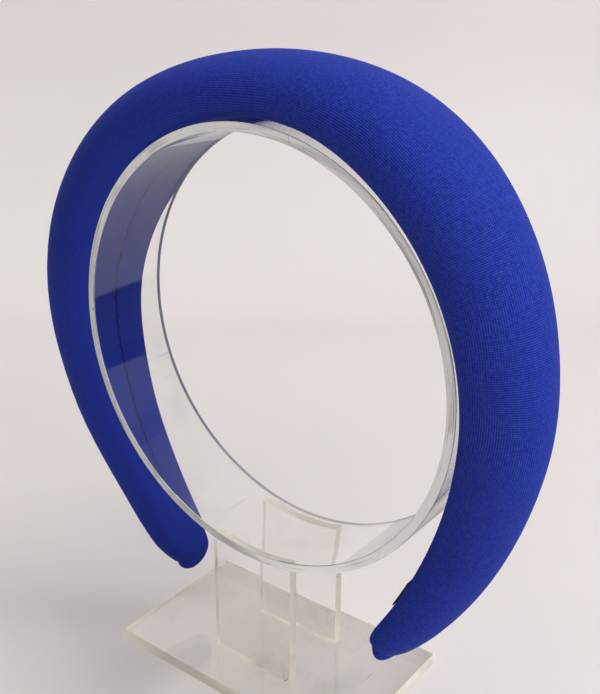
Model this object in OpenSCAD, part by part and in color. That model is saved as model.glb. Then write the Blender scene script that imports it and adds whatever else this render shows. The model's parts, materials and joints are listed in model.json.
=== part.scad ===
// Padded headband on its clear display stand: a ring held upright in two cradles on a base plate.
// The ring's axis runs along Y, its front is towards -Y, and Z is up from the underside of the plate.

/* [Headband] */
// Width of the padding over the crown
band_width = 40; // [32:0.5:46]
// Depth of the padding at its fullest, measured out from the inner face
band_depth = 22; // [16:0.5:26]
// Share of the padding's width that is the flat inner face
face_share = 0.8; // [0.65:0.01:0.9]
// Share of the padding's depth at which it is widest
waist_share = 0.34; // [0.2:0.01:0.45]
// Turn from the top of the ring to where the left arm leaves it
wrap_left = 97.5; // [85:0.5:105]
// Turn from the top of the ring to where the right arm leaves it
wrap_right = 97; // [85:0.5:105]
// Radius of the left arm below the ring, seen from the front
arm_radius_left = 148; // [120:1:220]
// Radius of the right arm below the ring, seen from the front
arm_radius_right = 161; // [120:1:220]
// Length of the left arm's padding below the ring
arm_left = 80.5; // [65:0.5:95]
// Length of the right arm's padding below the ring
arm_right = 77; // [65:0.5:95]
// Length over which the padding rounds off at each end
end_round = 9; // [4:0.5:14]

/* [Wrapped ends] */
// Width of a wrapped end where it leaves the padding
tip_width = 12.5; // [9:0.5:14]
// Thickness of a wrapped end where it leaves the padding
tip_thick = 7; // [4:0.1:8]
// Thickness of a wrapped end at its tip
tip_thin = 2.8; // [2:0.1:4]
// Distance of a wrapped end's inner side out from the inner face of the padding
tip_out = 2.5; // [0:0.1:4]
// How far a wrapped end lies behind the middle of the padding's inner face
tip_back = 1.8; // [0:0.1:4]
// How far a wrapped end's middle bends outwards by its tip
tip_flare = 1.6; // [0:0.1:3]
// Length of the left wrapped end beyond the padding
tip_left = 4.5; // [3:0.5:8]
// Length of the right wrapped end beyond the padding
tip_right = 6; // [3:0.5:10]

/* [Label tab] */
// Length of the blank tab along the right arm
tab_length = 10; // [6:0.5:16]
// Width of the blank tab across the inner face
tab_width = 12; // [8:0.5:14]
// Thickness of the folded tab
tab_thick = 0.6; // [0.4:0.1:1.2]
// Distance from the inner face's front edge to the tab
tab_set_in = 1; // [0:0.1:3]
// Distance from the end of the right padding to the tab
tab_from_end = 18; // [12:0.5:30]

/* [Display ring] */
// Outer diameter of the clear ring
ring_d = 130; // [120:1:140]
// Wall of the clear ring
ring_wall = 2.7; // [2:0.1:4]
// Width of the clear ring along its axis
ring_width = 28.7; // [24:0.1:34]

/* [Stand] */
// Width of each cradle
cradle_width = 30; // [24:0.5:40]
// Height of each cradle from the plate to its upper corners
cradle_height = 42.2; // [36:0.1:60]
// Thickness of each cradle
cradle_thick = 3; // [2:0.1:5]
// Distance over the outer faces of the two cradles
cradle_spread = 26.8; // [22:0.1:28]
// Length of the base plate
base_length = 88; // [80:0.5:120]
// Depth of the base plate from front to back
base_depth = 52.5; // [44:0.5:80]
// Thickness of the base plate
base_thick = 3.9; // [3:0.1:6]
// How far the ring stands to the right of the plate's middle
stand_shift = 1.8; // [-4:0.1:4]
// How far the cradles' middle lies to the left of the ring's axis
cradle_offset = 0.9; // [-2:0.1:2]
// Chamfer on the sawn edges of the clear parts
edge_break = 0.3; // [0.1:0.05:0.6]

/* [Fit] */
// Gap between pieces that lie on each other
seat_gap = 0.3; // [0.1:0.05:0.5]

/* [Hidden] */

ring_r = ring_d / 2;
// Radius of the band's inner face while it lies on the ring, and of the cradles' tops under the ring
lay_r = ring_r + seat_gap;
ring_z = base_thick + cradle_height + sqrt(lay_r * lay_r - pow(cradle_width / 2 + abs(cradle_offset), 2));
ring_front = -ring_width / 2;
path_left = lay_r * wrap_left * PI / 180 + arm_left;
path_right = lay_r * wrap_right * PI / 180 + arm_right;

// Sections of the padding from the left end to the right end. way is the share of an arm's length
// from the crown, left being negative. width and set_in are shares of band_width, set_in being how
// far the inner face's front edge lies behind the ring's front. depth is a share of band_depth, and
// lean is how far the padding leans to the front for each millimetre outwards.
WAY = 0; WIDTH = 1; DEPTH = 2; SET_IN = 3; LEAN = 4;
SECTIONS = [
    [-1.00, 0.42, 0.50, 0.120, 0.03],
    [-0.85, 0.49, 0.68, 0.080, 0.13],
    [-0.70, 0.56, 0.86, 0.035, 0.21],
    [-0.50, 0.68, 0.99, 0.015, 0.21],
    [-0.25, 0.97, 0.91, 0.040, 0.20],
    [ 0.00, 1.00, 0.73, 0.135, 0.17],
    [ 0.25, 0.95, 0.93, 0.040, 0.17],
    [ 0.50, 0.71, 0.96, 0.020, 0.19],
    [ 0.70, 0.57, 0.85, 0.105, 0.16],
    [ 0.85, 0.50, 0.71, 0.110, 0.11],
    [ 1.00, 0.42, 0.48, 0.110, 0.06],
];

stations = 33;          // sections along each arm
dome_steps = 18;        // sides over the dome of a section
corner_steps = 4;       // sides round each lower corner of a section
tip_steps = 8;          // sections along a wrapped end

// Value of a column at a way, on a smooth curve through the rows
function row_slope(col, i) = let (a = max(i - 1, 0), b = min(i + 1, len(SECTIONS) - 1))
    (SECTIONS[b][col] - SECTIONS[a][col]) / (SECTIONS[b][WAY] - SECTIONS[a][WAY]);
function row_before(way) = max([0, for (i = [0 : len(SECTIONS) - 2]) if (way >= SECTIONS[i][WAY]) i]);
function at(col, way) =
    let (i = row_before(way), a = SECTIONS[i], b = SECTIONS[i + 1],
         run = b[WAY] - a[WAY], t = (way - a[WAY]) / run)
    a[col] * (1 + 2 * t) * pow(1 - t, 2) + b[col] * t * t * (3 - 2 * t)
    + run * (row_slope(col, i) * t * pow(1 - t, 2) - row_slope(col, i + 1) * t * t * (1 - t));

// Place on the inner face at a distance s along it from the top of the ring, left being negative:
// x, z and the turn of the outward direction
function on_path(s) =
    let (side = s < 0 ? -1 : 1, wrap = s < 0 ? wrap_left : wrap_right,
         arm_r = s < 0 ? arm_radius_left : arm_radius_right,
         wrapped = lay_r * wrap * PI / 180, past = abs(s) - wrapped,
         turn = past < 0 ? abs(s) / lay_r * 180 / PI : wrap + past / arm_r * 180 / PI)
    past < 0
        ? [side * lay_r * sin(turn), lay_r * cos(turn), side * turn]
        : [side * (lay_r * sin(wrap) + arm_r * (sin(turn) - sin(wrap))),
           lay_r * cos(wrap) + arm_r * (cos(turn) - cos(wrap)), side * turn];

// A point of a section: across is along Y, out is away from the inner face
function placed(s, across, out) = let (p = on_path(s))
    [stand_shift + p[0] + out * sin(p[2]), across, ring_z + p[1] + out * cos(p[2])];

function way_of(s) = s / (s < 0 ? path_left : path_right);
function to_end(s) = s < 0 ? path_left + s : path_right - s;
// Fullness of the padding: 1 along the arms, falling to 0 on a quarter ellipse at the ends
function fullness(s) = let (x = 1 - min(1, to_end(s) / end_round)) sqrt(max(0, 1 - x * x));
function eased(s, whole, at_end) = at_end + (whole - at_end) * fullness(s);

function width_at(s) = eased(s, band_width * at(WIDTH, way_of(s)), tip_width);
function depth_at(s) = eased(s, band_depth * at(DEPTH, way_of(s)), tip_thick);
function lift_at(s) = eased(s, 0, tip_out);
function face_at(s) = face_share * width_at(s);
// Middle of the inner face, kept from the whole width so that the rounding draws in both edges alike
function middle_at(s) = ring_front + eased(s, 0, tip_back)
    + band_width * (at(SET_IN, way_of(s)) + face_share * at(WIDTH, way_of(s)) / 2);

// Outline of a section w wide and d deep: a dome on a flat inner face, with rounded lower corners
function domed(w, d) =
    let (f = face_share * w, waist = waist_share * d)
    concat(
        [for (i = [0 : dome_steps]) let (a = 180 * i / dome_steps)
            [w / 2 * cos(a), waist + (d - waist) * sin(a)]],
        [for (i = [1 : corner_steps]) let (a = 90 * i / corner_steps)
            [-(f + (w - f) * cos(a)) / 2, waist * (1 - sin(a))]],
        [for (i = [corner_steps : -1 : 1]) let (a = 90 * i / corner_steps)
            [(f + (w - f) * cos(a)) / 2, waist * (1 - sin(a))]]);

// That outline set across the path, lifted off the inner face and leaning to the front
function set_across(s, outline, mid, lift, lean) =
    [for (p = outline) placed(s, mid + p[0] - lean * (lift + p[1]), lift + p[1])];

function section(s) =
    set_across(s, domed(width_at(s), depth_at(s)), middle_at(s), lift_at(s), at(LEAN, way_of(s)));

// A closed solid through a list of rings that all have as many points
module loft(rings) {
    n = len(rings[0]);
    last = len(rings) - 1;
    sides = [for (k = [0 : last - 1]) for (i = [0 : n - 1]) let (j = (i + 1) % n)
        each [[k * n + i, k * n + j, (k + 1) * n + j], [k * n + i, (k + 1) * n + j, (k + 1) * n + i]]];
    polyhedron(
        points = [for (ring = rings) each ring],
        faces = concat([[for (i = [n - 1 : -1 : 0]) i]], sides, [[for (i = [0 : n - 1]) last * n + i]]));
}

// Distances along one arm from its end to the crown, closer together where the padding rounds off
function arm_stops(total) = concat(
    [for (i = [0 : 6]) end_round * (1 - cos(90 * i / 7))],
    [for (i = [0 : stations - 1]) end_round + (total - end_round) * i / stations]);

module padded_band() {
    stops = concat([for (e = arm_stops(path_left)) e - path_left], [0],
                   [for (e = arm_stops(path_right)) path_right - e]);
    ordered = [for (i = [0 : len(arm_stops(path_left))]) stops[i]];
    right = [for (i = [len(stops) - 1 : -1 : len(ordered)]) stops[i]];
    color("royalblue") loft([for (s = concat(ordered, right)) section(s)]);
}

// Wrapped end beyond the padding: it thins and bends outwards, and its outline is rounded
module wrapped_end(side, total, reach) {
    mid = middle_at(side * total);
    lean = at(LEAN, side);
    rings = [for (k = [0 : tip_steps])
        let (share = sin(90 * k / tip_steps) * 0.985,
             w = tip_width * sqrt(1 - pow(share, 2)),
             d = (tip_thick + (tip_thin - tip_thick) * share) * sqrt(1 - pow(share, 6)),
             centre = tip_out + tip_thick / 2 + tip_flare * share)
        set_across(side * (total + seat_gap + reach * share), domed(w, d), mid, centre - d / 2, lean)];
    color("royalblue") loft(side > 0 ? [for (k = [tip_steps : -1 : 0]) rings[k]] : rings);
}

module tip_left_end() { wrapped_end(-1, path_left, tip_left); }
module tip_right_end() { wrapped_end(1, path_right, tip_right); }

// Blank folded tab on the inner face of the right arm
module label_tab() {
    start = path_right - tab_from_end - tab_length;
    color("black") loft([for (k = [4 : -1 : 0])
        let (s = start + tab_length * k / 4, front = middle_at(s) - face_at(s) / 2 + tab_set_in)
        [for (p = [[0, -seat_gap - tab_thick], [tab_width, -seat_gap - tab_thick],
                   [tab_width, -seat_gap], [0, -seat_gap]])
            placed(s, front + p[0], p[1])]]);
}

module display_ring() {
    inner = ring_r - ring_wall;
    c = edge_break;
    h = ring_width / 2;
    color("gainsboro", 0.4) translate([stand_shift, 0, ring_z]) rotate([90, 0, 0])
        rotate_extrude($fn = 180) polygon([
            [inner + c, -h], [ring_r - c, -h], [ring_r, -h + c], [ring_r, h - c],
            [ring_r - c, h], [inner + c, h], [inner, h - c], [inner, -h + c]]);
}

// One upright sheet standing on the plate, its top hollowed to carry the ring
module cradle(front_y) {
    color("gainsboro", 0.4) difference() {
        translate([stand_shift - cradle_offset - cradle_width / 2, front_y, base_thick])
            cube([cradle_width, cradle_thick, cradle_height]);
        translate([stand_shift, front_y - 1, ring_z]) rotate([-90, 0, 0])
            cylinder(r = lay_r, h = cradle_thick + 2, $fn = 180);
    }
}

module cradle_front() { cradle(-cradle_spread / 2); }
module cradle_back() { cradle(cradle_spread / 2 - cradle_thick); }

// Outline of the plate's edge, with its corners broken
function broken_edge(half) = let (c = edge_break, t = base_thick)
    [[-half + c, 0], [half - c, 0], [half, c], [half, t - c], [half - c, t], [-half + c, t], [-half, t - c], [-half, c]];

module base_plate() {
    color("gainsboro", 0.4) intersection() {
        translate([0, base_depth / 2, 0]) rotate([90, 0, 0])
            linear_extrude(base_depth) polygon(broken_edge(base_length / 2));
        translate([-base_length / 2, 0, 0]) rotate([90, 0, 90])
            linear_extrude(base_length) polygon(broken_edge(base_depth / 2));
    }
}

padded_band();
tip_left_end();
tip_right_end();
label_tab();
display_ring();
cradle_front();
cradle_back();
base_plate();
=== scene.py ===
"""Padded headband on its clear display stand, dressed for its photograph.

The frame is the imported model: metres, Z up from the underside of the plate, the ring's axis along Y
and its front towards -Y.
"""
import json
import math

import bmesh
import bpy
import numpy as np
from mathutils import Matrix, Vector

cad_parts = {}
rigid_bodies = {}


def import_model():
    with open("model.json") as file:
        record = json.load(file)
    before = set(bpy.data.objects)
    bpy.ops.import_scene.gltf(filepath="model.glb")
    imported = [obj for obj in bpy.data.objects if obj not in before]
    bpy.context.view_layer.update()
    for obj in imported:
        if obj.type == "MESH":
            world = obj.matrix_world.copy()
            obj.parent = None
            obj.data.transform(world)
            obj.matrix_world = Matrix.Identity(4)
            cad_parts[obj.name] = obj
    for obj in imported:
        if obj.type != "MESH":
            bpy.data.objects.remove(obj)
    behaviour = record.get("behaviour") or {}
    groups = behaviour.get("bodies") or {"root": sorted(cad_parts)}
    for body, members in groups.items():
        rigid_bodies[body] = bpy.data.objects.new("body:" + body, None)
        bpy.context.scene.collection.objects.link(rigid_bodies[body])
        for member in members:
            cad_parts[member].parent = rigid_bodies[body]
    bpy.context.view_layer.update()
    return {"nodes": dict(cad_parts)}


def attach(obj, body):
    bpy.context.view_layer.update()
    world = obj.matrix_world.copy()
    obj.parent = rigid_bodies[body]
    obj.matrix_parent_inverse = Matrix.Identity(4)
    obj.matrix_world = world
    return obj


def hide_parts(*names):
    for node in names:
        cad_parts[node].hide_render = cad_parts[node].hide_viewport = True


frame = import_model()

# Sizes of the solids, in metres
RING_X, RING_Z = 0.0018, 0.1094347
RING_R, RING_WALL, RING_WIDTH = 0.065, 0.0027, 0.0287
LAY_R = 0.0653
WRAP = {-1: math.radians(97.5), 1: math.radians(97.0)}
ARM_R = {-1: 0.148, 1: 0.161}
PATH = {-1: LAY_R * WRAP[-1] + 0.0805, 1: LAY_R * WRAP[1] + 0.077}
BAND_WIDTH, BAND_DEPTH, FACE_SHARE, WAIST_SHARE = 0.040, 0.022, 0.8, 0.34
PLATE_LENGTH, PLATE_DEPTH, PLATE_THICK = 0.088, 0.0525, 0.0039
CRADLE_X, CRADLE_WIDTH, CRADLE_HEIGHT, CRADLE_THICK = 0.0009, 0.030, 0.0422, 0.003
CRADLE_OUT = 0.0134

# Share of an arm's length, then width, depth, setting in and lean, as in the part's source
SECTIONS = np.array([
    [-1.00, 0.42, 0.50, 0.120, 0.03],
    [-0.85, 0.49, 0.68, 0.080, 0.13],
    [-0.70, 0.56, 0.86, 0.035, 0.21],
    [-0.50, 0.68, 0.99, 0.015, 0.21],
    [-0.25, 0.97, 0.91, 0.040, 0.20],
    [0.00, 1.00, 0.73, 0.135, 0.17],
    [0.25, 0.95, 0.93, 0.040, 0.17],
    [0.50, 0.71, 0.96, 0.020, 0.19],
    [0.70, 0.57, 0.85, 0.105, 0.16],
    [0.85, 0.50, 0.71, 0.110, 0.11],
    [1.00, 0.42, 0.48, 0.110, 0.06],
])
WIDTH, DEPTH, SET_IN, LEAN = 1, 2, 3, 4
END_ROUND, TIP_WIDTH, TIP_THICK, TIP_OUT, TIP_BACK = 0.009, 0.0125, 0.007, 0.0025, 0.0018
# The cloth is worked out ten times as large, where its stiffness and the pressure act as in use
CLOTH_SCALE, CLOTH_STEPS, MOST_LIFT = 10.0, 20, 0.0022
# How far the padding reaches over its wrapped ends
REACH_OVER = {-1: 0.0008, 1: 0.0006}
RIB_PITCH, COURSE_PITCH, STITCH_PITCH = 0.00066, 0.00053, 0.0041
# The camera, worked out from the ring's circles and the plate's corners, in metres, degrees and pixels
CAMERA_PLACE = (0.166976, -0.207893, 0.217718)
CAMERA_YAW, CAMERA_PITCH, CAMERA_ROLL = 37.2477, 22.3198, 0.3459
FOCAL_PIXELS, PHOTO_HEIGHT, SENSOR = 998.672, 694, 36


# Measuring along the band

def row_value(column, way):
    """A column's value at shares of the arms, on a smooth curve through the rows."""
    way = np.clip(way, -1, 1)
    share, value = SECTIONS[:, 0], SECTIONS[:, column]
    last = len(share) - 1
    before = np.clip(np.searchsorted(share, way, side="right") - 1, 0, last - 1)
    low, high = np.maximum(np.arange(last + 1) - 1, 0), np.minimum(np.arange(last + 1) + 1, last)
    slope = (value[high] - value[low]) / (share[high] - share[low])
    run = share[before + 1] - share[before]
    t = (way - share[before]) / run
    return (value[before] * (1 + 2 * t) * (1 - t) ** 2 + value[before + 1] * t * t * (3 - 2 * t)
            + run * (slope[before] * t * (1 - t) ** 2 - slope[before + 1] * t * t * (1 - t)))


def way_of(along):
    """Share of the arm's length, from -1 at the left end to 1 at the right one."""
    return np.where(along < 0, along / PATH[-1], along / PATH[1])


def to_end(along):
    """Distance to the end of the padding on the same side, below 0 beyond it."""
    return np.where(along < 0, PATH[-1], PATH[1]) - np.abs(along)


def eased(along, whole, at_end):
    """A size that falls from its whole value to another on a quarter ellipse at the ends."""
    full = np.sqrt(np.clip(1 - (1 - np.clip(to_end(along) / END_ROUND, 0, 1)) ** 2, 0, 1))
    return at_end + (whole - at_end) * full


def face_middle(along):
    """Y of the middle of the inner face."""
    way = way_of(along)
    return (-RING_WIDTH / 2 + eased(along, 0.0, TIP_BACK)
            + BAND_WIDTH * (row_value(SET_IN, way) + FACE_SHARE * row_value(WIDTH, way) / 2))


def bend_of(side):
    """Turn at which the inner face leaves the ring, and the radius of the arm beyond it."""
    return np.where(side < 0, WRAP[-1], WRAP[1]), np.where(side < 0, ARM_R[-1], ARM_R[1])


def unrolled(points):
    """Distance along the inner face from the top of the ring, and distance out from that face."""
    dx, dz = points[:, 0] - RING_X, points[:, 2] - RING_Z
    side = np.where(dx < 0, -1, 1)
    turn = np.arctan2(np.abs(dx), dz)
    wrap, arm = bend_of(side)
    near = turn <= wrap
    cx, cz = (LAY_R - arm) * np.sin(wrap), (LAY_R - arm) * np.cos(wrap)
    arm_turn = np.arctan2(np.abs(dx) - cx, dz - cz)
    along = np.where(near, LAY_R * turn, LAY_R * wrap + arm * (arm_turn - wrap))
    out = np.where(near, np.hypot(dx, dz) - LAY_R, np.hypot(np.abs(dx) - cx, dz - cz) - arm)
    return side * along, out


def face_turn(along):
    """Turn of the outward direction about Y, from the ring's top, at distances along the inner face."""
    side = np.where(along < 0, -1, 1)
    wrap, arm = bend_of(side)
    past = np.abs(along) - LAY_R * wrap
    return side * np.where(past < 0, np.abs(along) / LAY_R, wrap + past / arm)


def rolled(along, across, out):
    """Points at distances along the inner face, at Y across, and out from the face."""
    turn = face_turn(along)
    side = np.where(along < 0, -1, 1)
    wrap, arm = bend_of(side)
    size = np.where(np.abs(turn) < wrap, LAY_R, arm)
    cx, cz = side * (LAY_R - size) * np.sin(wrap), (LAY_R - size) * np.cos(wrap)
    return np.stack([RING_X + cx + (size + out) * np.sin(turn), across + 0 * out,
                     RING_Z + cz + (size + out) * np.cos(turn)], axis=-1)


# Working with meshes

def only(*pieces):
    """Deselects all else, and makes the first of some pieces the active one."""
    for other in bpy.context.view_layer.objects:
        other.select_set(False)
    for piece in pieces:
        piece.select_set(True)
    bpy.context.view_layer.objects.active = pieces[0]
    return pieces[0]


def new_piece(name):
    """Names the piece that a primitive has just made."""
    piece = bpy.context.view_layer.objects.active
    piece.name = piece.data.name = name
    return only(piece)


def settle(piece):
    """Puts a piece's place into its mesh, so that its object sits at the origin."""
    only(piece)
    bpy.ops.object.transform_apply(location=True, rotation=True, scale=True)
    return piece


def edit(piece, *steps):
    """Runs edit-mode steps on the whole mesh of a piece."""
    only(piece)
    bpy.ops.object.mode_set(mode="EDIT")
    bpy.ops.mesh.select_all(action="SELECT")
    for step in steps:
        step()
    bpy.ops.object.mode_set(mode="OBJECT")
    return piece


def apply_modifier(piece, kind, **values):
    only(piece)
    modifier = piece.modifiers.new(kind.lower(), kind)
    for key, value in values.items():
        setattr(modifier, key, value)
    bpy.ops.object.modifier_apply(modifier=modifier.name)
    return piece


def break_edges(piece, width, segments, sharper_than):
    """Bevels the edges of a piece that turn by more than some degrees."""
    return apply_modifier(piece, "BEVEL", width=width, segments=segments, limit_method="ANGLE",
                          angle_limit=math.radians(sharper_than))


def points_of(piece, kind="co"):
    """The places of a mesh's vertices, or with "normal" the ways that they face."""
    flat = np.empty(len(piece.data.vertices) * 3, np.float32)
    piece.data.vertices.foreach_get(kind, flat)
    return flat.reshape(-1, 3).astype(float)


def put_points(piece, points):
    piece.data.vertices.foreach_set("co", points.astype(np.float32).ravel())
    piece.data.update()


def smooth_faces(piece):
    piece.data.polygons.foreach_set("use_smooth", [True] * len(piece.data.polygons))


def copy_of_node(node, name):
    """A welded copy of a soft solid, in quads where its triangles pair up."""
    source = frame["nodes"][node]
    piece = bpy.data.objects.new(name, source.data.copy())
    piece.data.materials.clear()
    bpy.context.scene.collection.objects.link(piece)
    return edit(piece,
                lambda: bpy.ops.mesh.remove_doubles(threshold=2e-6),
                lambda: bpy.ops.mesh.tris_convert_to_quads(face_threshold=math.radians(50),
                                                           shape_threshold=math.radians(60)),
                lambda: bpy.ops.mesh.normals_make_consistent(inside=False))


def finish_piece(piece, node, slot, *materials):
    """Gives a piece its materials and its body, and hides the node that it stands for."""
    piece.data.materials.clear()
    for material in materials:
        piece.data.materials.append(material)
    if node:
        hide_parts(*([node] if isinstance(node, str) else node))
    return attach(piece, "root")


# Working with shader nodes

def group(name, inputs, outputs):
    """An empty shader node group with its sockets, and its two end nodes."""
    tree = bpy.data.node_groups.new(name, "ShaderNodeTree")
    for label, kind, value in inputs:
        socket = tree.interface.new_socket(label, in_out="INPUT", socket_type="NodeSocket" + kind)
        if value is not None:
            socket.default_value = value
    for label, kind in outputs:
        tree.interface.new_socket(label, in_out="OUTPUT", socket_type="NodeSocket" + kind)
    return tree, tree.nodes.new("NodeGroupInput"), tree.nodes.new("NodeGroupOutput")


class Bench:
    """Adds and joins nodes in one tree."""

    def __init__(self, tree):
        self.tree = tree

    def add(self, kind, **values):
        node = self.tree.nodes.new("ShaderNode" + kind)
        for key, value in values.items():
            setattr(node, key, value)
        return node

    def join(self, source, target):
        self.tree.links.new(source, target)

    def fill(self, socket, value):
        if isinstance(value, bpy.types.NodeSocket):
            self.join(value, socket)
        else:
            socket.default_value = value

    def math(self, operation, *values, clamp=False):
        node = self.add("Math", operation=operation, use_clamp=clamp)
        for socket, value in zip(node.inputs, values):
            self.fill(socket, value)
        return node.outputs[0]

    def vector(self, operation, *values):
        node = self.add("VectorMath", operation=operation)
        for socket, value in zip(node.inputs, values):
            self.fill(socket, value)
        return node.outputs["Value" if operation in ("LENGTH", "DOT_PRODUCT") else "Vector"]

    def apart(self, vector):
        """A vector's X, Y and Z."""
        node = self.add("SeparateXYZ")
        self.join(vector, node.inputs[0])
        return node.outputs

    def mapped(self, vector, scale, turn=(0.0, 0.0, 0.0)):
        node = self.add("Mapping", vector_type="POINT")
        for label, value in (("Vector", vector), ("Rotation", turn), ("Scale", scale)):
            self.fill(node.inputs[label], value)
        return node.outputs[0]

    def spread(self, value, low, high, to_low=0.0, to_high=1.0, smooth=True):
        """Maps a value from one range to another, held at its ends."""
        node = self.add("MapRange", clamp=True, interpolation_type="SMOOTHSTEP" if smooth else "LINEAR")
        for label, item in (("Value", value), ("From Min", low), ("From Max", high),
                            ("To Min", to_low), ("To Max", to_high)):
            self.fill(node.inputs[label], item)
        return node.outputs["Result"]

    def noise(self, vector, scale, detail=2.0, roughness=0.5):
        node = self.add("TexNoise")
        self.join(vector, node.inputs["Vector"])
        self.fill(node.inputs["Scale"], scale)
        node.inputs["Detail"].default_value = detail
        node.inputs["Roughness"].default_value = roughness
        return node.outputs["Fac"]

    def mix(self, share, first, second):
        node = self.add("Mix", data_type="RGBA")
        self.fill(node.inputs["Factor"], share)
        for socket, value in ((node.inputs[6], first), (node.inputs[7], second)):
            self.fill(socket, value)
        return node.outputs[2]

    def use(self, tree, **values):
        node = self.add("Group")
        node.node_tree = tree
        for key, value in values.items():
            self.fill(node.inputs[key.replace("_", " ")], value)
        return node.outputs


def knit_group():
    """Fine ribbed stretch knit laid along and around the band: its height, and a mask of the ribs."""
    tree, start, end = group(
        "ribbed knit",
        [("Along", "Float", 0.0), ("Around", "Float", 0.0), ("Place", "Vector", None),
         ("Rib pitch", "Float", 0.001), ("Course pitch", "Float", 0.001), ("Lining", "Float", 0.0)],
        [("Height", "Float"), ("Ribs", "Float"), ("Cloud", "Float")])
    b = Bench(tree)
    inputs = start.outputs
    wander = b.math("MULTIPLY", b.math("SUBTRACT", b.noise(inputs["Place"], 60.0), 0.5), 0.0012)
    around = b.math("ADD", inputs["Around"], wander)
    along = b.math("ADD", inputs["Along"], b.math("MULTIPLY", wander, 0.7))
    rib_turn = b.math("MULTIPLY", b.math("DIVIDE", around, inputs["Rib pitch"]), 2 * math.pi)
    zigzag = b.math("MULTIPLY", b.math("SINE", rib_turn), 0.9)
    course_turn = b.math("MULTIPLY", b.math("DIVIDE", along, inputs["Course pitch"]), 2 * math.pi)
    course_turn = b.math("ADD", course_turn, zigzag)
    rib = b.math("ADD", b.math("MULTIPLY", b.math("COSINE", rib_turn), 0.5), 0.5)
    course = b.math("ADD", b.math("MULTIPLY", b.math("COSINE", course_turn), 0.5), 0.5)
    patch = b.spread(b.noise(inputs["Place"], 34.0, 1.0), 0.38, 0.62)
    rib_part = b.math("MULTIPLY", rib, b.spread(patch, 0.0, 1.0, 0.25, 0.8, False))
    course_part = b.math("MULTIPLY", course, b.spread(patch, 0.0, 1.0, 0.8, 0.35, False))
    ribs = b.math("MULTIPLY", b.math("ADD", rib_part, course_part), 0.85)
    # The ribs' colour contrast and height are scaled by place: weakest on the left arm and on the inner face,
    # strongest on the right arm
    relief = b.math("MULTIPLY", b.spread(b.apart(inputs["Place"])["X"], -0.045, 0.050, 0.35, 1.45),
                    b.math("SUBTRACT", 1.0, b.math("MULTIPLY", inputs["Lining"], 0.8)))
    # Single stitches catch the light more than others
    bright = b.math("MULTIPLY", b.math("SUBTRACT", b.noise(inputs["Place"], 1150.0, 1.0), 0.5), 0.9)
    uneven = b.math("ADD", b.math("SUBTRACT", ribs, 0.46), bright)
    ribs = b.math("ADD", 0.46, b.math("MULTIPLY", uneven, relief), clamp=True)
    fuzz = b.noise(inputs["Place"], 2600.0, 2.0)
    height = b.math("ADD", ribs, b.math("MULTIPLY", fuzz, 0.12))
    b.join(height, end.inputs["Height"])
    b.join(ribs, end.inputs["Ribs"])
    b.join(b.noise(inputs["Place"], 22.0, 3.0), end.inputs["Cloud"])
    return tree


def wear_group():
    """Marks on clear plastic: fine scratches, chips, and dust and grime in patches."""
    tree, start, end = group(
        "handled plastic", [("Place", "Vector", None), ("Amount", "Float", 1.0)],
        [("Scratches", "Float"), ("Grime", "Float"), ("Chips", "Float"), ("Height", "Float")])
    b = Bench(tree)
    place, amount = start.outputs["Place"], start.outputs["Amount"]
    streak = b.noise(b.mapped(place, (900.0, 60.0, 110.0), (0.4, 0.9, 0.3)), 1.0, 3.0)
    patches = b.spread(b.noise(place, 45.0, 2.0), 0.5, 0.68)
    scratches = b.math("MULTIPLY", b.math("MULTIPLY", b.spread(streak, 0.64, 0.72), patches), amount)
    stretched = b.noise(b.mapped(place, (700.0, 230.0, 330.0), (0.9, 0.5, 0.7)), 1.0, 3.0, 0.7)
    b.join(b.spread(stretched, 0.64, 0.72), end.inputs["Chips"])
    grime = b.math("MULTIPLY", b.spread(b.noise(place, 55.0, 3.0, 0.6), 0.52, 0.74), amount)
    b.join(scratches, end.inputs["Scratches"])
    b.join(grime, end.inputs["Grime"])
    uneven = b.math("MULTIPLY", b.noise(place, 900.0, 2.0), 0.4)
    b.join(b.math("SUBTRACT", uneven, scratches), end.inputs["Height"])
    return tree


def tube_end_group():
    """Marks that follow the ends of the tube: the saw's fine rings, and masks of painted light: where an end
    is painted paler, and where its painted glow is weaker at the right.
    """
    tree, start, end = group("ends of the tube", [("Place", "Vector", None)],
                             [("Rings", "Float"), ("Painted pale", "Float"), ("Right", "Float")])
    b = Bench(tree)
    place = start.outputs["Place"]
    x, _, z = b.apart(place)
    # Painted light: an end is painted paler away from its upper left, and its painted glow is weaker at the
    # right
    from_left = b.math("SUBTRACT", b.math("MULTIPLY", z, 0.6), b.math("MULTIPLY", x, 0.8))
    b.join(b.spread(from_left, 0.050, 0.090, 1.0, 0.0), end.inputs["Painted pale"])
    b.join(b.spread(x, 0.015, 0.050, 0.0, 0.4), end.inputs["Right"])
    # Noise that is fine across the radius and long around the ring
    off_axis = b.vector("MULTIPLY", b.vector("SUBTRACT", place, (RING_X, 0, RING_Z)), (1, 0, 1))
    ringed = b.add("CombineXYZ")
    measures = (b.vector("LENGTH", off_axis), 2600.0), (x, 45.0), (z, 45.0)
    for socket, (value, scale) in zip(ringed.inputs, measures):
        b.join(b.math("MULTIPLY", value, scale), socket)
    b.join(b.spread(b.noise(ringed.outputs[0], 1.0, 2.0, 0.6), 0.54, 0.66), end.inputs["Rings"])
    return tree


KNIT, WEAR, TUBE_ENDS = knit_group(), wear_group(), tube_end_group()


def new_material(name):
    """A material with its bench, its shader, and the place on the piece that its patterns follow."""
    material = bpy.data.materials.new(name)
    material.use_nodes = True
    bench = Bench(material.node_tree)
    place = bench.add("TexCoord").outputs["Object"]
    return material, bench, material.node_tree.nodes["Principled BSDF"], place


def bumped(bench, shader, height, distance, strength=1.0):
    bump = bench.add("Bump")
    bench.join(height, bump.inputs["Height"])
    bump.inputs["Distance"].default_value = distance
    bump.inputs["Strength"].default_value = strength
    bench.join(bump.outputs["Normal"], shader.inputs["Normal"])


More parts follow.
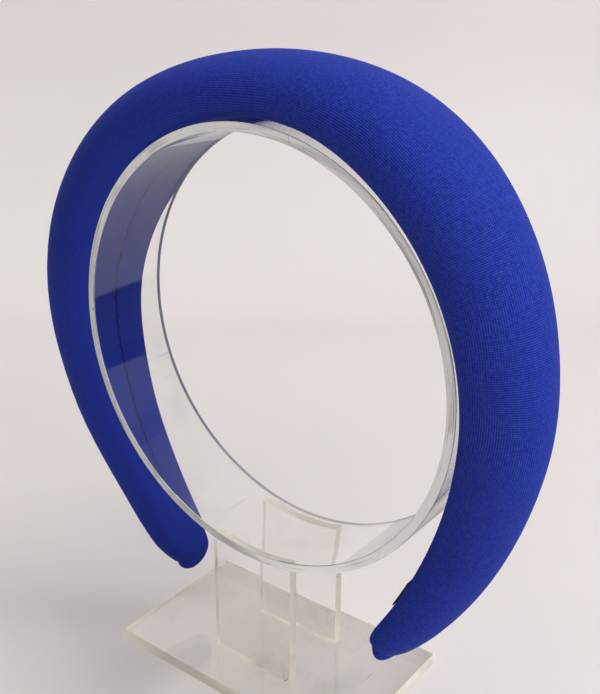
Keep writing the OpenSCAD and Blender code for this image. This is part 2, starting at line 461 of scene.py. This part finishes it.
def knit_material():
    """Dyed knit: its ribs catch the light, and the seam under the band is a dark line."""
    material, b, shader, place = new_material("royal blue stretch knit")
    along, around, _ = b.apart(b.add("UVMap", uv_map="cloth_lay").outputs["UV"])
    seam_along, beside, _ = b.apart(b.add("UVMap", uv_map="seam_lay").outputs["UV"])
    inner = b.spread(b.math("ABSOLUTE", beside), 0.020, 0.045, 1.0, 0.0)
    knit = b.use(KNIT, Along=along, Around=around, Place=place,
                 Rib_pitch=RIB_PITCH, Course_pitch=COURSE_PITCH, Lining=inner)
    base = b.mix(b.spread(knit["Cloud"], 0.3, 0.7), (0.0105, 0.0210, 0.210, 1), (0.0130, 0.0255, 0.240, 1))
    ribbed = b.mix(b.spread(knit["Ribs"], 0.1, 0.9, 0.0, 0.9), base, (0.0280, 0.0570, 0.430, 1))
    # The stitches pull the seam to and fro, and it stops short of the ends
    stitch_turn = b.math("MULTIPLY", seam_along, 2 * math.pi / STITCH_PITCH)
    pulled = b.math("MULTIPLY", b.math("SINE", stitch_turn), 0.00012)
    off_seam = b.math("ABSOLUTE", b.math("ADD", beside, pulled))
    before_ends = b.spread(b.math("ABSOLUTE", seam_along), 0.150, 0.168, 1.0, 0.0)
    seen = b.math("MULTIPLY", b.spread(off_seam, 0.0001, 0.0005, 0.7, 0.0), before_ends)
    b.join(b.mix(seen, ribbed, (0.0020, 0.0040, 0.050, 1)), shader.inputs["Base Color"])
    b.join(b.spread(knit["Ribs"], 0.0, 1.0, 0.80, 0.68), shader.inputs["Roughness"])
    shader.inputs["Specular IOR Level"].default_value = 0.07
    shader.inputs["Sheen Weight"].default_value = 0.10
    shader.inputs["Sheen Roughness"].default_value = 0.40
    shader.inputs["Sheen Tint"].default_value = (0.14, 0.28, 1.0, 1)
    bumped(b, shader, knit["Height"], 0.00006, 0.8)
    return material


def thread_material():
    material, b, shader, place = new_material("dark blue thread")
    twist = b.noise(place, 3200.0, 1.0)
    b.join(b.mix(twist, (0.003, 0.004, 0.040, 1), (0.006, 0.008, 0.10, 1)), shader.inputs["Base Color"])
    b.join(b.spread(twist, 0.3, 0.7, 0.55, 0.8), shader.inputs["Roughness"])
    bumped(b, shader, twist, 0.00008)
    return material


def tape_material():
    material, b, shader, place = new_material("black woven tape")
    checks = b.add("TexChecker")
    b.join(b.mapped(place, (2600.0, 2600.0, 2600.0)), checks.inputs["Vector"])
    checks.inputs["Scale"].default_value = 1.0
    weave = checks.outputs["Fac"]
    b.join(b.mix(weave, (0.006, 0.006, 0.008, 1), (0.016, 0.016, 0.020, 1)), shader.inputs["Base Color"])
    b.join(b.spread(b.noise(place, 500.0), 0.3, 0.7, 0.6, 0.85), shader.inputs["Roughness"])
    bumped(b, shader, weave, 0.00005)
    return material


def acrylic_material(name, tint, smooth, rough, wear, bump, through=1.0, glow=0.0, tube_end=False):
    """Clear plastic. Its roughness lies between two values, and grime and scratches darken it a little.

    A sawn edge lets less light through, has a faint painted glow that stands in for the light that the sheet
    gathers, and has small chips. An end of the tube also has the saw's fine rings, is painted paler away from
    the upper left, and its painted glow is weaker at the right.
    """
    material, b, shader, place = new_material(name)
    marks = b.use(WEAR, Place=place, Amount=wear)
    dulled = b.mix(marks["Grime"], tint, tuple(0.80 * c for c in tint[:3]) + (1,))
    scratched = b.mix(marks["Scratches"], dulled, (0.42, 0.42, 0.43, 1))
    if through < 1:
        scratched = b.mix(b.math("MULTIPLY", marks["Chips"], 0.6), scratched, (0.36, 0.35, 0.32, 1))
    if tube_end:
        ends = b.use(TUBE_ENDS, Place=place)
        # Painted light: the end is mixed towards a paler tone away from its upper left
        scratched = b.mix(ends["Painted pale"], scratched, (0.90, 0.89, 0.87, 1))
        scratched = b.mix(b.math("MULTIPLY", ends["Rings"], 0.55), scratched, (0.40, 0.39, 0.38, 1))
    b.join(scratched, shader.inputs["Base Color"])
    b.join(b.spread(b.math("ADD", marks["Grime"], marks["Scratches"]), 0.0, 1.0, smooth, rough),
           shader.inputs["Roughness"])
    shader.inputs["Transmission Weight"].default_value = through
    shader.inputs["IOR"].default_value = 1.49
    # Painted glow: emission that stands in for light gathered in the sheet, dimmed by chips, grime and the
    # saw's rings, and on a tube end at the right
    if glow:
        dim = b.math("MULTIPLY", b.math("MAXIMUM", marks["Chips"], marks["Grime"]), 0.5)
        if tube_end:
            dim = b.math("MAXIMUM", dim, ends["Right"])
            dim = b.math("MAXIMUM", dim, b.math("MULTIPLY", ends["Rings"], 0.6))
        b.join(b.mix(dim, tint, (0.02, 0.02, 0.02, 1)), shader.inputs["Emission Color"])
        shader.inputs["Emission Strength"].default_value = glow
    bumped(b, shader, marks["Height"], bump)
    # A shadow ray passes straight through, so lamps light what lies behind the plastic
    passed = b.add("BsdfTransparent")
    passed.inputs["Color"].default_value = (0.97, 0.97, 0.965, 1)
    blend = b.add("MixShader")
    b.join(b.add("LightPath").outputs["Is Shadow Ray"], blend.inputs[0])
    b.join(shader.outputs[0], blend.inputs[1])
    b.join(passed.outputs[0], blend.inputs[2])
    b.join(blend.outputs[0], material.node_tree.nodes["Material Output"].inputs["Surface"])
    return material


def table_material():
    material, b, shader, place = new_material("pale table")
    cloud = b.noise(place, 3.0, 4.0)
    grain = b.noise(place, 320.0, 3.0)
    b.join(b.mix(b.spread(cloud, 0.3, 0.7), (0.760, 0.722, 0.712, 1), (0.793, 0.753, 0.743, 1)),
           shader.inputs["Base Color"])
    b.join(b.spread(grain, 0.3, 0.7, 0.55, 0.75), shader.inputs["Roughness"])
    bumped(b, shader, grain, 0.00006, 0.4)
    return material


# The padded cover

def girth_tables(stations, turns):
    """Distance round a section from its crest, for each way along the band and each turn about its core."""
    a = np.radians(np.linspace(0, 180, 73))
    c = np.radians(np.linspace(0, 90, 13)[1:])
    rounds = np.zeros((len(stations), len(turns)))
    cores = np.zeros((len(stations), 2))
    for k, way in enumerate(stations):
        w = BAND_WIDTH * float(row_value(WIDTH, np.array([way]))[0])
        d = BAND_DEPTH * float(row_value(DEPTH, np.array([way]))[0])
        f, waist = FACE_SHARE * w, WAIST_SHARE * d
        y = np.concatenate([w / 2 * np.cos(a[36:]), -(f + (w - f) * np.cos(c)) / 2, [0.0]])
        out = np.concatenate([waist + (d - waist) * np.sin(a[36:]), waist * (1 - np.sin(c)), [0.0]])
        length = np.concatenate([[0.0], np.cumsum(np.hypot(np.diff(y), np.diff(out)))])
        turn = np.unwrap(np.arctan2(-y, out - 0.42 * d))
        rounds[k] = np.interp(turns, turn, length)
        cores[k] = 0.42 * d, float(row_value(LEAN, np.array([way]))[0])
    return rounds, cores


def lay_cloth(piece):
    """Writes two UV maps in metres: along the band and round it, and along and beside its seam."""
    stations, turns = np.linspace(-1, 1, 81), np.linspace(0, math.pi, 61)
    rounds, cores = girth_tables(stations, turns)
    points = points_of(piece)
    along, out = unrolled(points)
    way = np.clip(way_of(along), -1, 1)
    core = np.interp(way, stations, cores[:, 0])
    lean = np.interp(way, stations, cores[:, 1])
    off = points[:, 1] - (face_middle(along) - lean * out)
    turn = np.arctan2(off, out - core)
    row = (way + 1) / 2 * (len(stations) - 1)
    col = np.abs(turn) / math.pi * (len(turns) - 1)
    r0 = np.clip(row.astype(int), 0, len(stations) - 2)
    c0 = np.clip(col.astype(int), 0, len(turns) - 2)
    fr, fc = row - r0, col - c0
    around = ((1 - fr) * ((1 - fc) * rounds[r0, c0] + fc * rounds[r0, c0 + 1])
              + fr * ((1 - fc) * rounds[r0 + 1, c0] + fc * rounds[r0 + 1, c0 + 1])) * np.sign(turn)
    # The knit's courses fan out from the inner face, so they are measured at the middle of the padding
    wrapped = np.minimum(np.abs(along), LAY_R * 1.69)
    laid = np.sign(along) * (wrapped * (LAY_R + 0.010) / LAY_R + (np.abs(along) - wrapped) * 1.07)
    # Towards the ends the ribs lean over, as the knit is drawn round the tip
    drawn = np.clip(0.030 - to_end(along), 0, 0.034)
    around = around + 0.30 * drawn ** 2 / 0.060
    layer = piece.data.uv_layers.new(name="cloth_lay")
    corner = np.empty(len(piece.data.loops), np.int32)
    piece.data.loops.foreach_get("vertex_index", corner)
    spread_out = np.stack([laid, around], 1)[corner]
    # A face that straddles the seam under the band keeps one side's measure
    start = np.empty(len(piece.data.polygons), np.int32)
    count = np.empty(len(piece.data.polygons), np.int32)
    piece.data.polygons.foreach_get("loop_start", start)
    piece.data.polygons.foreach_get("loop_total", count)
    for s, n in zip(start, count):
        part = spread_out[s:s + n, 1]
        if part.max() - part.min() > 0.02:
            part[part < 0] += part.max() - part.min()
    layer.data.foreach_set("uv", spread_out.astype(np.float32).ravel())
    beside = points[:, 1] - face_middle(along)
    beside = np.where(out < 0.0025, beside, 0.05)
    second = piece.data.uv_layers.new(name="seam_lay")
    second.data.foreach_set("uv", np.stack([along, beside], 1)[corner].astype(np.float32).ravel())


def fine_inner_face(piece):
    """Parts the long faces of the inner face, which the solids leave in one span from edge to edge."""
    only(piece)
    bpy.ops.object.mode_set(mode="EDIT")
    bpy.ops.mesh.select_all(action="DESELECT")
    bpy.ops.mesh.select_mode(type="EDGE")
    mesh = bmesh.from_edit_mesh(piece.data)
    ends = np.array([[v.co for v in edge.verts] for edge in mesh.edges])
    along, out = unrolled(ends.reshape(-1, 3))
    off = np.abs(out - eased(along, 0.0, TIP_OUT)).reshape(-1, 2)
    across = np.abs(ends[:, 0, 1] - ends[:, 1, 1])
    lengthwise = np.hypot(ends[:, 0, 0] - ends[:, 1, 0], ends[:, 0, 2] - ends[:, 1, 2])
    for edge, wide, lifted, far in zip(mesh.edges, across, off.max(axis=1), lengthwise):
        edge.select_set(bool(wide > 0.008 and lifted < 0.0002 and far < 0.001))
    bmesh.update_edit_mesh(piece.data)
    bpy.ops.mesh.subdivide(number_cuts=9)
    bpy.ops.object.mode_set(mode="OBJECT")


def padded_cover(material):
    """The band's cover, filled by a short cloth simulation and brought back to the solid's measures."""
    cover = copy_of_node("padded_band", "padded_cover")
    fine_inner_face(cover)
    apply_modifier(cover, "SUBSURF", levels=1, render_levels=1)
    solid = points_of(cover)
    outward = points_of(cover, "normal")
    along, out = unrolled(solid)
    free = np.clip((out - 0.0015) / 0.004, 0, 1)
    free *= np.clip((to_end(along) - 0.006) / 0.014, 0, 1)
    # It starts a little too narrow on the arms and too low on the crown, where the filling pushes most
    crown = np.clip(1.3 - np.abs(along) / 0.055, 0, 1)
    inset = free * (-0.0003 + 0.0010 * crown + (0.0010 - 0.0013 * crown) * np.abs(outward[:, 1]))
    put_points(cover, (solid - outward * inset[:, None]) * CLOTH_SCALE)
    held = cover.vertex_groups.new(name="held")
    for index, share in enumerate(1 - free):
        if share > 0.001:
            held.add([index], float(share), "REPLACE")
    before = points_of(cover)
    cloth = cover.modifiers.new("cloth", "CLOTH")
    cloth.settings.quality = 6
    cloth.settings.mass = 0.05
    cloth.settings.tension_stiffness = 5
    cloth.settings.compression_stiffness = 5
    cloth.settings.shear_stiffness = 5
    cloth.settings.bending_stiffness = 0.1
    cloth.settings.vertex_group_mass = "held"
    cloth.settings.pin_stiffness = 1.0
    cloth.settings.use_pressure = True
    cloth.settings.uniform_pressure_force = 30.0
    cloth.settings.effector_weights.gravity = 0.0
    cloth.collision_settings.use_collision = False
    cloth.collision_settings.use_self_collision = False
    for number in range(1, CLOTH_STEPS + 1):
        bpy.context.scene.frame_set(number)
    step = (points_of(cover.evaluated_get(bpy.context.evaluated_depsgraph_get())) - before) / CLOTH_SCALE
    cover.modifiers.remove(cloth)
    bpy.context.scene.frame_set(1)
    size = np.linalg.norm(step, axis=1)
    step *= (np.minimum(size, MOST_LIFT) / np.maximum(size, 1e-9))[:, None]
    puffed = before / CLOTH_SCALE + step
    # The padding thins out towards the ends, where the cover keeps the shape of its core
    filled = np.clip((to_end(along) - 0.004) / 0.026, 0, 1)[:, None]
    puffed = solid + 0.75 * (puffed - solid) * filled * filled * (3 - 2 * filled)
    along, out = unrolled(puffed)
    reach = np.where(along < 0, -REACH_OVER[-1], REACH_OVER[1]) * np.clip(1 - to_end(along) / 0.005, 0, 1)
    put_points(cover, rolled(along + reach, puffed[:, 1], out))
    cover.vertex_groups.clear()
    apply_modifier(cover, "SUBSURF", levels=1, render_levels=1)
    even_out(cover)
    sink_seam(cover)
    smooth_faces(cover)
    lay_cloth(cover)
    finish_piece(cover, "padded_band", "blue_knit", material)
    return cover


def even_out(cover):
    """Brings the filled cover's width, depth and lean back to those of the solid, keeping its roundness."""
    points = points_of(cover)
    along, out = unrolled(points)
    stations = np.concatenate([np.arange(-PATH[-1] + 0.0015, -PATH[-1] + 0.018, 0.003),
                               np.arange(-PATH[-1] + 0.022, PATH[1] - 0.02, 0.006),
                               np.arange(PATH[1] - 0.0165, PATH[1], 0.003)])
    way = way_of(stations)
    width = eased(stations, BAND_WIDTH * row_value(WIDTH, way), TIP_WIDTH)
    depth = eased(stations, BAND_DEPTH * row_value(DEPTH, way), TIP_THICK)
    lift = eased(stations, 0.0, TIP_OUT)
    lean = row_value(LEAN, way)
    turn = np.linspace(0, math.pi, 181)[:, None]
    rise = lift + depth * (WAIST_SHARE + (1 - WAIST_SHARE) * np.sin(turn))
    edge = face_middle(stations) + width / 2 * np.cos(turn) - lean * rise
    wanted = np.stack([edge.min(axis=0), edge.max(axis=0), lift + depth,
                       face_middle(stations) - lean * (lift + depth)])
    found = np.zeros_like(wanted)
    for k, place in enumerate(stations):
        near = (np.abs(along - place) < (0.0016 if to_end(place) < 0.02 else 0.0032)) & (out > 0.0015)
        across, rise = points[near, 1], out[near]
        crest = across[rise > 0.96 * rise.max()].mean()
        found[:, k] = across.min(), across.max(), rise.max(), crest
    smooth = np.array([0.25, 0.5, 0.25])
    lacking = [np.convolve(np.pad(row, 1, mode="edge"), smooth, "valid") for row in (wanted - found)]
    low, high, top, over = (np.interp(along, stations, row) for row in lacking)
    first, last, crest, _ = (np.interp(along, stations, row) for row in found)
    share = np.clip((points[:, 1] - first) / (last - first), 0, 1)
    tilt = (over - (low + high) / 2) * 4 * share * (1 - share) * np.clip(out / crest, 0, 1)
    rising = np.clip(out / 0.005, 0, 1)
    rising = rising * rising * (3 - 2 * rising)
    across = points[:, 1] + (low + (high - low) * share) * rising + tilt
    put_points(cover, rolled(along, across, out + top * np.clip(out / crest, 0, 1)))
    print("cover brought back by up to %.2f mm" % (1000 * np.abs(wanted - found).max()))


def sink_seam(cover):
    """Draws the seam in along the middle of the inner face, deeper at every stitch."""
    points = points_of(cover)
    along, out = unrolled(points)
    off = points[:, 1] - face_middle(along)
    stitch = 1 + 0.25 * np.sin(along * 2 * math.pi / STITCH_PITCH)
    depth = 0.00055 * np.exp(-(off / 0.0010) ** 2) + 0.00018 * np.exp(-(off / 0.0028) ** 2)
    sunk = depth * stitch * (out < 0.003) * np.clip((to_end(along) - 0.010) / 0.012, 0, 1)
    turn = face_turn(along)
    points[:, 0] += sunk * np.sin(turn)
    points[:, 2] += sunk * np.cos(turn)
    put_points(cover, points)


def seam_stitches(material):
    """Short slanted stitches across the seam, one every few millimetres."""
    stitches = []
    for side in (-1, 1):
        place = 0.002 if side > 0 else 0.0045
        while place < PATH[side] - 0.022:
            bpy.ops.mesh.primitive_uv_sphere_add(segments=8, ring_count=6, radius=0.5)
            stitch = bpy.context.view_layer.objects.active
            along = side * place
            slant = 0.5 if len(stitches) % 2 else -0.5
            at = Vector(rolled(along, face_middle(along), 0.00030))
            turned = Matrix.Rotation(float(face_turn(along)), 4, "Y") @ Matrix.Rotation(slant, 4, "Z")
            size = Matrix.Diagonal((0.00034, 0.0013, 0.0003, 1))
            stitch.data.transform(Matrix.Translation(at) @ turned @ size)
            stitches.append(stitch)
            place += 0.0038 + 0.0005 * math.sin(place * 900)
    only(*stitches)
    bpy.ops.object.join()
    row = new_piece("seam_stitches")
    smooth_faces(row)
    return finish_piece(row, None, "blue_knit", material)


def folded_end(side, material):
    """The cover folded over the core beyond the padding, spread out where it leaves the padding."""
    word = "left" if side < 0 else "right"
    piece = copy_of_node("tip_%s_end" % word, "folded_end_" + word)
    break_edges(piece, 0.0007, 3, 35)
    apply_modifier(piece, "SUBSURF", levels=2, render_levels=2, subdivision_type="SIMPLE")
    points, outward = points_of(piece), points_of(piece, "normal")
    along, out = unrolled(points)
    beyond = -to_end(along)
    reach = beyond.max()
    off, rise = points[:, 1] - points[:, 1].mean(), out - out.mean()
    turn = np.arctan2(off, rise)
    # Its start is tucked under the padding, spreads most towards the head, and has a groove round it
    tuck = 0.0016 * np.clip(1 - beyond / 0.0006, 0, 1)
    inner = np.clip(-np.cos(turn), 0, 1)
    spread = (0.0005 + 0.0006 * inner) * np.clip(1 - (beyond - tuck) / 0.0050, 0, 1) ** 1.5
    spread -= (0.0008 if side > 0 else 0.0003) * np.exp(-((beyond - 0.0006) / 0.0007) ** 2)
    spread *= np.clip(np.hypot(off, rise) / 0.0025, 0, 1)
    tucked = rolled(along - side * tuck, points[:, 1] + spread * np.sin(turn), out + spread * np.cos(turn))
    folds = np.sin(3 * turn + 0.7) * 0.00022 + np.sin(7 * turn + 2.0) * 0.00010
    folds = folds * np.clip(beyond / reach, 0, 1) * np.clip((reach - beyond) / 0.001, 0, 1)
    put_points(piece, tucked + outward * folds[:, None])
    smooth_faces(piece)
    lay_cloth(piece)
    finish_piece(piece, "tip_%s_end" % word, "blue_knit", material)
    return piece


def side_tab(material):
    """Blank tape folded in two, lying close on the inner face of the right arm."""
    tab = copy_of_node("label_tab", "side_tab")
    edit(tab, lambda: bpy.ops.mesh.subdivide(number_cuts=2))
    break_edges(tab, 0.00018, 2, 50)
    points = points_of(tab)
    along, out = unrolled(points)
    put_points(tab, rolled(along, points[:, 1], 0.75 * out))
    smooth_faces(tab)
    bpy.ops.object.shade_smooth_by_angle(angle=math.radians(40))
    return finish_piece(tab, "label_tab", "black_tape", material)


# The clear stand

def clear_ring(wall, front_end, rear_end):
    """A slice of clear tube, turned about its axis from its own section."""
    bpy.ops.mesh.primitive_plane_add(size=1, location=(RING_X + RING_R - RING_WALL / 2, 0, RING_Z))
    ring = new_piece("clear_ring")
    edit(ring,
         lambda: bpy.ops.transform.resize(value=(RING_WALL, RING_WIDTH, 1)),
         lambda: bpy.ops.mesh.bevel(offset=0.0003, segments=3, affect="VERTICES"),
         lambda: bpy.ops.mesh.spin(steps=300, angle=2 * math.pi, center=(RING_X, 0, RING_Z),
                                   axis=(0, 1, 0)),
         lambda: bpy.ops.mesh.select_all(action="SELECT"),
         lambda: bpy.ops.mesh.remove_doubles(threshold=1e-6))
    drop_inner_faces(ring)
    edit(ring, lambda: bpy.ops.mesh.normals_make_consistent(inside=False))
    settle(ring)
    bpy.ops.object.shade_smooth_by_angle(angle=math.radians(8))
    finish_piece(ring, "display_ring", "clear_acrylic", wall, front_end, rear_end)
    for face in ring.data.polygons:
        if abs(face.center.y) > RING_WIDTH / 2 - 0.0002:
            face.material_index = 1 if face.center.y < 0 else 2
    return ring


def drop_inner_faces(piece):
    """Removes the faces that a full turn leaves inside the wall."""
    mesh = bmesh.new()
    mesh.from_mesh(piece.data)
    inner = [f for f in mesh.faces
             if any(len(e.link_faces) > 2 for e in f.edges) and abs(f.normal.y) < 0.001
             and f.calc_area() > RING_WALL * RING_WIDTH * 0.8]
    bmesh.ops.delete(mesh, geom=inner, context="FACES_ONLY")
    mesh.to_mesh(piece.data)
    mesh.free()


def sheet_block(name, low, high):
    """A block of clear sheet between two corners."""
    size = Vector(high) - Vector(low)
    bpy.ops.mesh.primitive_cube_add(size=1, location=(Vector(low) + Vector(high)) / 2)
    block = new_piece(name)
    edit(block, lambda: bpy.ops.transform.resize(value=size))
    return settle(block)


def cradle(name, node, y, wall, sawn):
    """An upright clear sheet, hollowed at the top to carry the ring."""
    left = CRADLE_X - CRADLE_WIDTH / 2
    block = sheet_block(name, (left, y, PLATE_THICK),
                        (left + CRADLE_WIDTH, y + CRADLE_THICK, PLATE_THICK + CRADLE_HEIGHT))
    bpy.ops.mesh.primitive_cylinder_add(vertices=360, radius=LAY_R, depth=0.05,
                                        location=(RING_X, y, RING_Z), rotation=(math.pi / 2, 0, 0))
    cutter = new_piece("hollowing_bar")
    settle(cutter)
    apply_modifier(block, "BOOLEAN", operation="DIFFERENCE", object=cutter, solver="EXACT")
    bpy.data.objects.remove(cutter)
    return sawn_block(block, node, wall, sawn)


def sawn_block(block, node, wall, sawn, flat_axis=1):
    """Breaks the edges of a clear sheet, and gives its cut edges their own finish."""
    break_edges(block, 0.00022, 2, 30)
    only(block)
    bpy.ops.object.shade_smooth_by_angle(angle=math.radians(20))
    finish_piece(block, node, "clear_acrylic", wall, sawn)
    for face in block.data.polygons:
        face.material_index = 0 if abs(face.normal[flat_axis]) > 0.9 else 1
    return block


def base_plate(wall, sawn):
    """The flat plate that the upright sheets stand on, with its own sawn edges."""
    plate = sheet_block("clear_plate", (-PLATE_LENGTH / 2, -PLATE_DEPTH / 2, 0),
                        (PLATE_LENGTH / 2, PLATE_DEPTH / 2, PLATE_THICK))
    return sawn_block(plate, "base_plate", wall, sawn, flat_axis=2)


# The table, the light and the camera

def table_and_wall(material):
    """A pale sheet that lies on the table and rises in a curve behind the stand."""
    yaw = math.radians(CAMERA_YAW)
    bpy.ops.mesh.primitive_plane_add(size=1)
    table = new_piece("table_sheet")
    back, front, half, rise = 0.30, -2.2, 4.5, 2.2
    table.data.clear_geometry()
    profile = [(front, -0.0001), (back, -0.0001)]
    for k in range(1, 13):
        a = math.radians(90 * k / 12)
        profile.append((back + 0.16 * math.sin(a), 0.16 * (1 - math.cos(a)) - 0.0001))
    profile.append((back + 0.16, rise))
    mesh = bmesh.new()
    rows = []
    for far, up in profile:
        rows.append([mesh.verts.new((side * half * math.cos(yaw) - far * math.sin(yaw),
                                     side * half * math.sin(yaw) + far * math.cos(yaw), up))
                     for side in (-1, 1)])
    for one, two in zip(rows, rows[1:]):
        mesh.faces.new((one[0], one[1], two[1], two[0]))
    mesh.to_mesh(table.data)
    mesh.free()
    smooth_faces(table)
    table.data.materials.append(material)


def studio_card(name, corners, material, seen_by):
    """A studio card that the camera doesn't see, only the kinds of light ray that it is there for."""
    bpy.ops.mesh.primitive_plane_add(size=1)
    card = new_piece(name)
    for vertex, corner in zip(card.data.vertices, corners):
        vertex.co = corner
    card.data.materials.append(material)
    card.visible_camera = card.visible_shadow = card.visible_volume_scatter = False
    card.visible_diffuse = "diffuse" in seen_by
    card.visible_glossy = "glossy" in seen_by
    card.visible_transmission = "transmission" in seen_by


def studio_cards():
    """Two keep light off the left arm. The others are what the ring mirrors beyond the table's edge."""
    black = card_material("black card", 0.022, 0.030)
    grey = card_material("grey card", 0.40, 0.76)
    diffuse, mirrored, in_glass = ("diffuse",), ("glossy",), ("glossy", "transmission")
    for name, material, seen_by, corners in (
            ("card_by_crown", black, diffuse, ((-0.100, -0.085, 0.100), (-0.010, -0.085, 0.100),
                                               (-0.100, -0.085, 0.175), (-0.010, -0.085, 0.175))),
            ("card_by_left_end", black, diffuse, ((-0.012, -0.055, 0.010), (-0.012, 0.015, 0.010),
                                                  (-0.012, -0.055, 0.075), (-0.012, 0.015, 0.075))),
            ("card_on_floor", black, in_glass, ((0.131, 0.10, 0.0008), (1.90, 0.30, 0.0008),
                                                (0.078, 0.33, 0.0008), (1.10, 2.10, 0.0008))),
            ("card_upright", black, in_glass, ((1.90, 0.30, 0.0), (1.10, 2.10, 0.0),
                                               (1.90, 0.30, 0.27), (1.10, 2.10, 0.27))),
            ("grey_floor_card", grey, mirrored, ((-2.00, 0.02, 0.0004), (0.30, 0.02, 0.0004),
                                                 (-2.00, 1.50, 0.0004), (0.30, 1.50, 0.0004))),
            ("grey_upright", grey, mirrored, ((1.88, 0.30, 0.27), (1.08, 2.10, 0.27),
                                              (1.88, 0.30, 2.40), (1.08, 2.10, 2.40)))):
        studio_card(name, corners, material, seen_by)


def card_material(name, tone, near_tone):
    """A card's tone, paler next to the stand so that its edge there does not show in the ring."""
    material, b, shader, place = new_material(name)
    near = b.spread(b.apart(place)["Y"], 0.02, 0.09, 1.0, 0.0)
    b.join(b.mix(near, (tone,) * 3 + (1,), (near_tone,) * 3 + (1,)), shader.inputs["Base Color"])
    shader.inputs["Roughness"].default_value = 0.9
    return material


def soft_box(name, place, aim, size, power, in_glass=False):
    """A soft studio lamp at one place, aimed at another. Rays that have passed glass see it only if asked."""
    lamp = bpy.data.lights.new(name, "AREA")
    lamp.shape = "RECTANGLE"
    lamp.size, lamp.size_y = size
    lamp.energy = power
    holder = bpy.data.objects.new(name, lamp)
    bpy.context.scene.collection.objects.link(holder)
    holder.location = place
    holder.rotation_euler = (Vector(aim) - Vector(place)).to_track_quat("-Z", "Y").to_euler()
    # A lamp's sharp mirror image in the clear ring would not look soft
    holder.visible_glossy = False
    holder.visible_transmission = in_glass


def light_and_camera():
    world = bpy.data.worlds.new("pale room")
    bpy.context.scene.world = world
    world.use_nodes = True
    b = Bench(world.node_tree)
    # The room is brightest behind the photographer's right shoulder
    towards = b.vector("DOT_PRODUCT", b.add("TexCoord").outputs["Generated"], (0.954, -0.130, 0.272))
    tone = b.mix(b.spread(towards, 0.2, 1.0), (0.10, 0.10, 0.10, 1), (1.0, 1.0, 1.0, 1))
    room = world.node_tree.nodes["Background"].inputs
    b.join(tone, room["Color"])
    room["Strength"].default_value = 0.98
    middle = (0.0, 0.0, 0.10)
    soft_box("overhead", (0.22, -0.80, 1.7), middle, (1.2, 1.2), 5.8, in_glass=True)
    soft_box("window", (0.34, 0.24, 0.86), middle, (0.6, 0.6), 3.2)
    soft_box("fill", (0.56, -0.13, 0.35), middle, (0.4, 0.4), 0.9)
    soft_box("side", (-0.60, 0.02, 0.26), middle, (0.3, 0.3), 0.3)
    yaw, pitch, roll = (math.radians(v) for v in (CAMERA_YAW, CAMERA_PITCH, CAMERA_ROLL))
    ahead = Vector((-math.sin(yaw) * math.cos(pitch), math.cos(yaw) * math.cos(pitch), -math.sin(pitch)))
    right = Vector((math.cos(yaw), math.sin(yaw), 0))
    up = right.cross(ahead)
    side = math.cos(roll) * right + math.sin(roll) * up
    top = -math.sin(roll) * right + math.cos(roll) * up
    data = bpy.data.cameras.new("camera")
    data.sensor_width = SENSOR
    data.lens = FOCAL_PIXELS * SENSOR / PHOTO_HEIGHT
    data.clip_start, data.clip_end = 0.01, 20
    camera = bpy.data.objects.new("camera", data)
    bpy.context.scene.collection.objects.link(camera)
    turned = Matrix((side, top, -ahead)).transposed().to_4x4()
    camera.matrix_world = Matrix.Translation(CAMERA_PLACE) @ turned
    bpy.context.scene.camera = camera
    # A plain view transform keeps the dye's own blue, where a filmic one would pale it
    bpy.context.scene.view_settings.view_transform = "Standard"


knit = knit_material()
padded_cover(knit)
seam_stitches(thread_material())
folded_end(-1, knit)
folded_end(1, knit)
side_tab(tape_material())
tube = acrylic_material("clear tube", (0.985, 0.985, 0.975, 1), 0.010, 0.05, 0.4, 0.000002)
# Painted light: the tube's front end has a painted glow and is painted paler away from its upper left
cut = acrylic_material("cut end of the tube with painted glow", (0.98, 0.955, 0.92, 1), 0.12, 0.35, 1.0, 0.00002,
                       through=0.70, glow=0.24, tube_end=True)
# Painted shade: the tube's rear end has the same cut finish as its front, tinted dark grey
rear = acrylic_material("rear end of the tube in painted shade", (0.42, 0.42, 0.43, 1), 0.20, 0.40, 1.0, 0.00001,
                        through=0.35, tube_end=True)
clear = acrylic_material("clear sheet", (0.985, 0.977, 0.962, 1), 0.012, 0.08, 0.5, 0.000002)
# Painted glow: the sawn sheet edges glow faintly
sawn = acrylic_material("sawn sheet edge", (0.97, 0.895, 0.79, 1), 0.30, 0.55, 1.0, 0.00003,
                        through=0.45, glow=0.07)
clear_ring(tube, cut, rear)
cradle("front_cradle", "cradle_front", -CRADLE_OUT, clear, sawn)
cradle("back_cradle", "cradle_back", CRADLE_OUT - CRADLE_THICK, clear, sawn)
base_plate(clear, sawn)
table_and_wall(table_material())
studio_cards()
light_and_camera()
